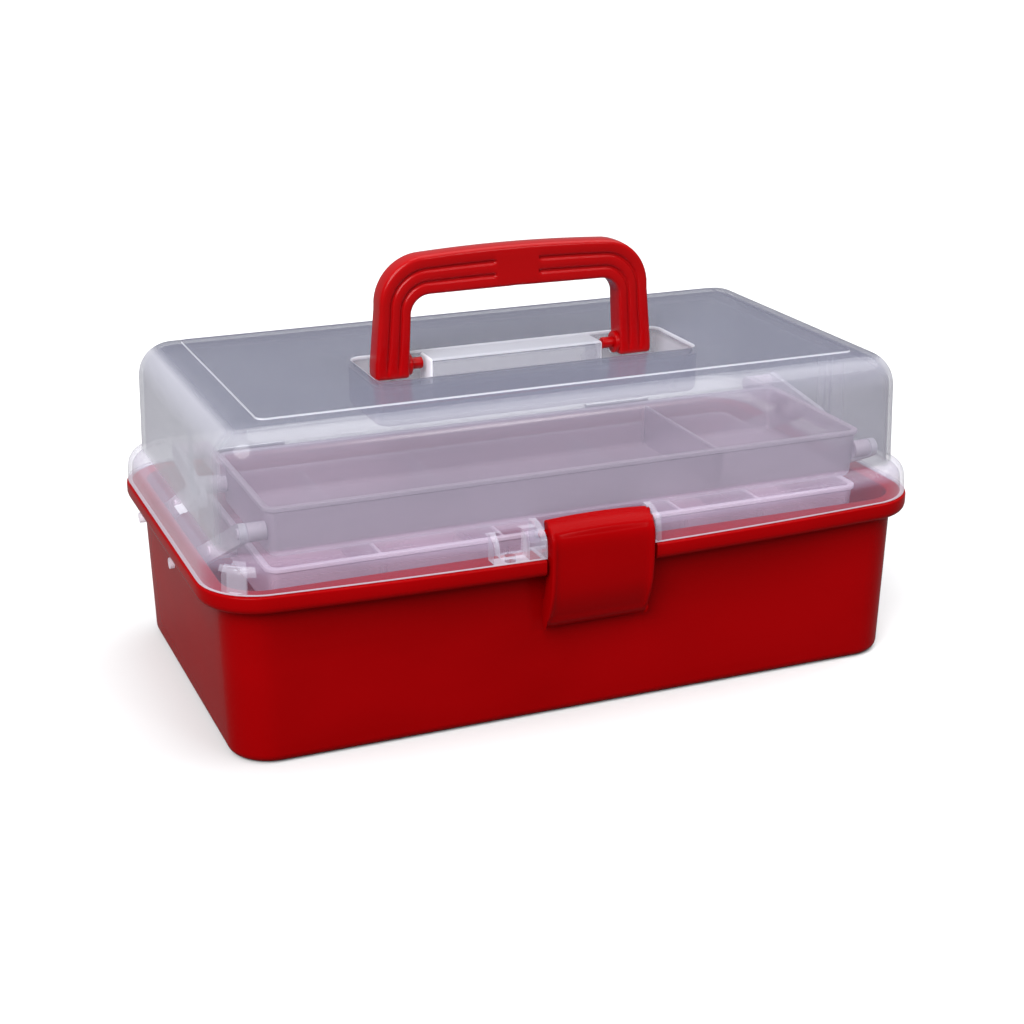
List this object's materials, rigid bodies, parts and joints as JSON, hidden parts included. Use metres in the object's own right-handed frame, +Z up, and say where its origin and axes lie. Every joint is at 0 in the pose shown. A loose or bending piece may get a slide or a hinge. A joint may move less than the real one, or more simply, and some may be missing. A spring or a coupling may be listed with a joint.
{
  "type": "sewing box with trays",
  "caption": "Moulded sewing box with a translucent hinged lid, fold-down carry handle, front latch and divided cantilever trays that rise as the lid opens.",
  "frame": {"origin": "on the table, under the middle of the tub's length; Y zero is midway between the tub's straight front and rear walls", "axes": "X along the length, +Y from the latch side to the hinge side, +Z up"},
  "size_m": [0.3314, 0.202, 0.1898],
  "materials": {
    "red_plastic": "glossy moulded polypropylene, red",
    "clear_lid": "translucent moulded polypropylene",
    "pin_steel": "drawn steel wire",
    "clear_tray": "translucent moulded polypropylene",
    "clear_arm": "translucent moulded polypropylene"
  },
  "bodies": {
    "base": {"base_tub": "red_plastic", "hinge_pin_left": "pin_steel", "hinge_pin_right": "pin_steel"},
    "lid": {"lid_cover": "clear_lid"},
    "handle": {"carry_handle": "red_plastic"},
    "latch": {"front_latch": "red_plastic"},
    "lower_tray": {"lower_tray": "clear_tray", "lower_divider_1": "clear_tray", "lower_divider_2": "clear_tray", "lower_divider_3": "clear_tray", "lower_divider_4": "clear_tray"},
    "upper_tray": {"upper_tray": "clear_tray", "upper_divider": "clear_tray"},
    "front_arm_left": {"front_arm_left": "clear_arm"},
    "front_arm_right": {"front_arm_right": "clear_arm"},
    "rear_arm_left": {"rear_arm_left": "clear_arm"},
    "rear_arm_right": {"rear_arm_right": "clear_arm"},
    "lid_link_left": {"lid_link_left": "clear_arm"},
    "lid_link_right": {"lid_link_right": "clear_arm"}
  },
  "joints": [
    {"name": "lid_open", "type": "hinge", "parent": "base", "child": "lid", "pos_m": [0, 0.0975, 0.07745], "axis": [-1, 0, 0], "range_deg": [0, 100]},
    {"name": "front_arm_left_swing", "type": "hinge", "parent": "base", "child": "front_arm_left", "pos_m": [-0.1468, 0.0129, 0.056], "axis": [-1, 0, 0], "range_deg": [0, 63.83]},
    {"name": "rear_arm_left_swing", "type": "hinge", "parent": "base", "child": "rear_arm_left", "pos_m": [-0.1468, 0.0765, 0.056], "axis": [-1, 0, 0], "range_deg": [0, 63.83]},
    {"name": "front_arm_right_swing", "type": "hinge", "parent": "base", "child": "front_arm_right", "pos_m": [0.1468, 0.0129, 0.056], "axis": [-1, 0, 0], "range_deg": [0, 63.83]},
    {"name": "rear_arm_right_swing", "type": "hinge", "parent": "base", "child": "rear_arm_right", "pos_m": [0.1468, 0.0765, 0.056], "axis": [-1, 0, 0], "range_deg": [0, 63.83]},
    {"name": "lower_tray_level", "type": "hinge", "parent": "front_arm_left", "child": "lower_tray", "pos_m": [-0.1468, -0.01823, 0.07132], "axis": [1, 0, 0], "range_deg": [0, 63.83]},
    {"name": "upper_tray_level", "type": "hinge", "parent": "front_arm_left", "child": "upper_tray", "pos_m": [-0.1468, -0.07099, 0.09728], "axis": [1, 0, 0], "range_deg": [0, 63.83]},
    {"name": "lid_link_left_turn", "type": "hinge", "parent": "lid", "child": "lid_link_left", "pos_m": [-0.1506, -0.021, 0.097], "axis": [-1, 0, 0], "range_deg": [0, 35.81]},
    {"name": "lid_link_right_turn", "type": "hinge", "parent": "lid", "child": "lid_link_right", "pos_m": [0.1506, -0.021, 0.097], "axis": [-1, 0, 0], "range_deg": [0, 35.81]},
    {"name": "handle_fold", "type": "hinge", "parent": "lid", "child": "handle", "pos_m": [0, -0.0003, 0.1393], "axis": [1, 0, 0], "range_deg": [0, 72]},
    {"name": "latch_swing", "type": "hinge", "parent": "lid", "child": "latch", "pos_m": [0, -0.093, 0.0874], "axis": [-1, 0, 0], "range_deg": [0, 110]}
  ],
  "couplings": [
    {"joint": "front_arm_left_swing", "follows": "lid_open", "ratio": 0.6373},
    {"joint": "rear_arm_left_swing", "follows": "lid_open", "ratio": 0.6373},
    {"joint": "front_arm_right_swing", "follows": "lid_open", "ratio": 0.6373},
    {"joint": "rear_arm_right_swing", "follows": "lid_open", "ratio": 0.6373},
    {"joint": "lower_tray_level", "follows": "lid_open", "ratio": 0.6373},
    {"joint": "upper_tray_level", "follows": "lid_open", "ratio": 0.6373},
    {"joint": "lid_link_left_turn", "follows": "lid_open", "ratio": 0.3571},
    {"joint": "lid_link_right_turn", "follows": "lid_open", "ratio": 0.3571}
  ]
}
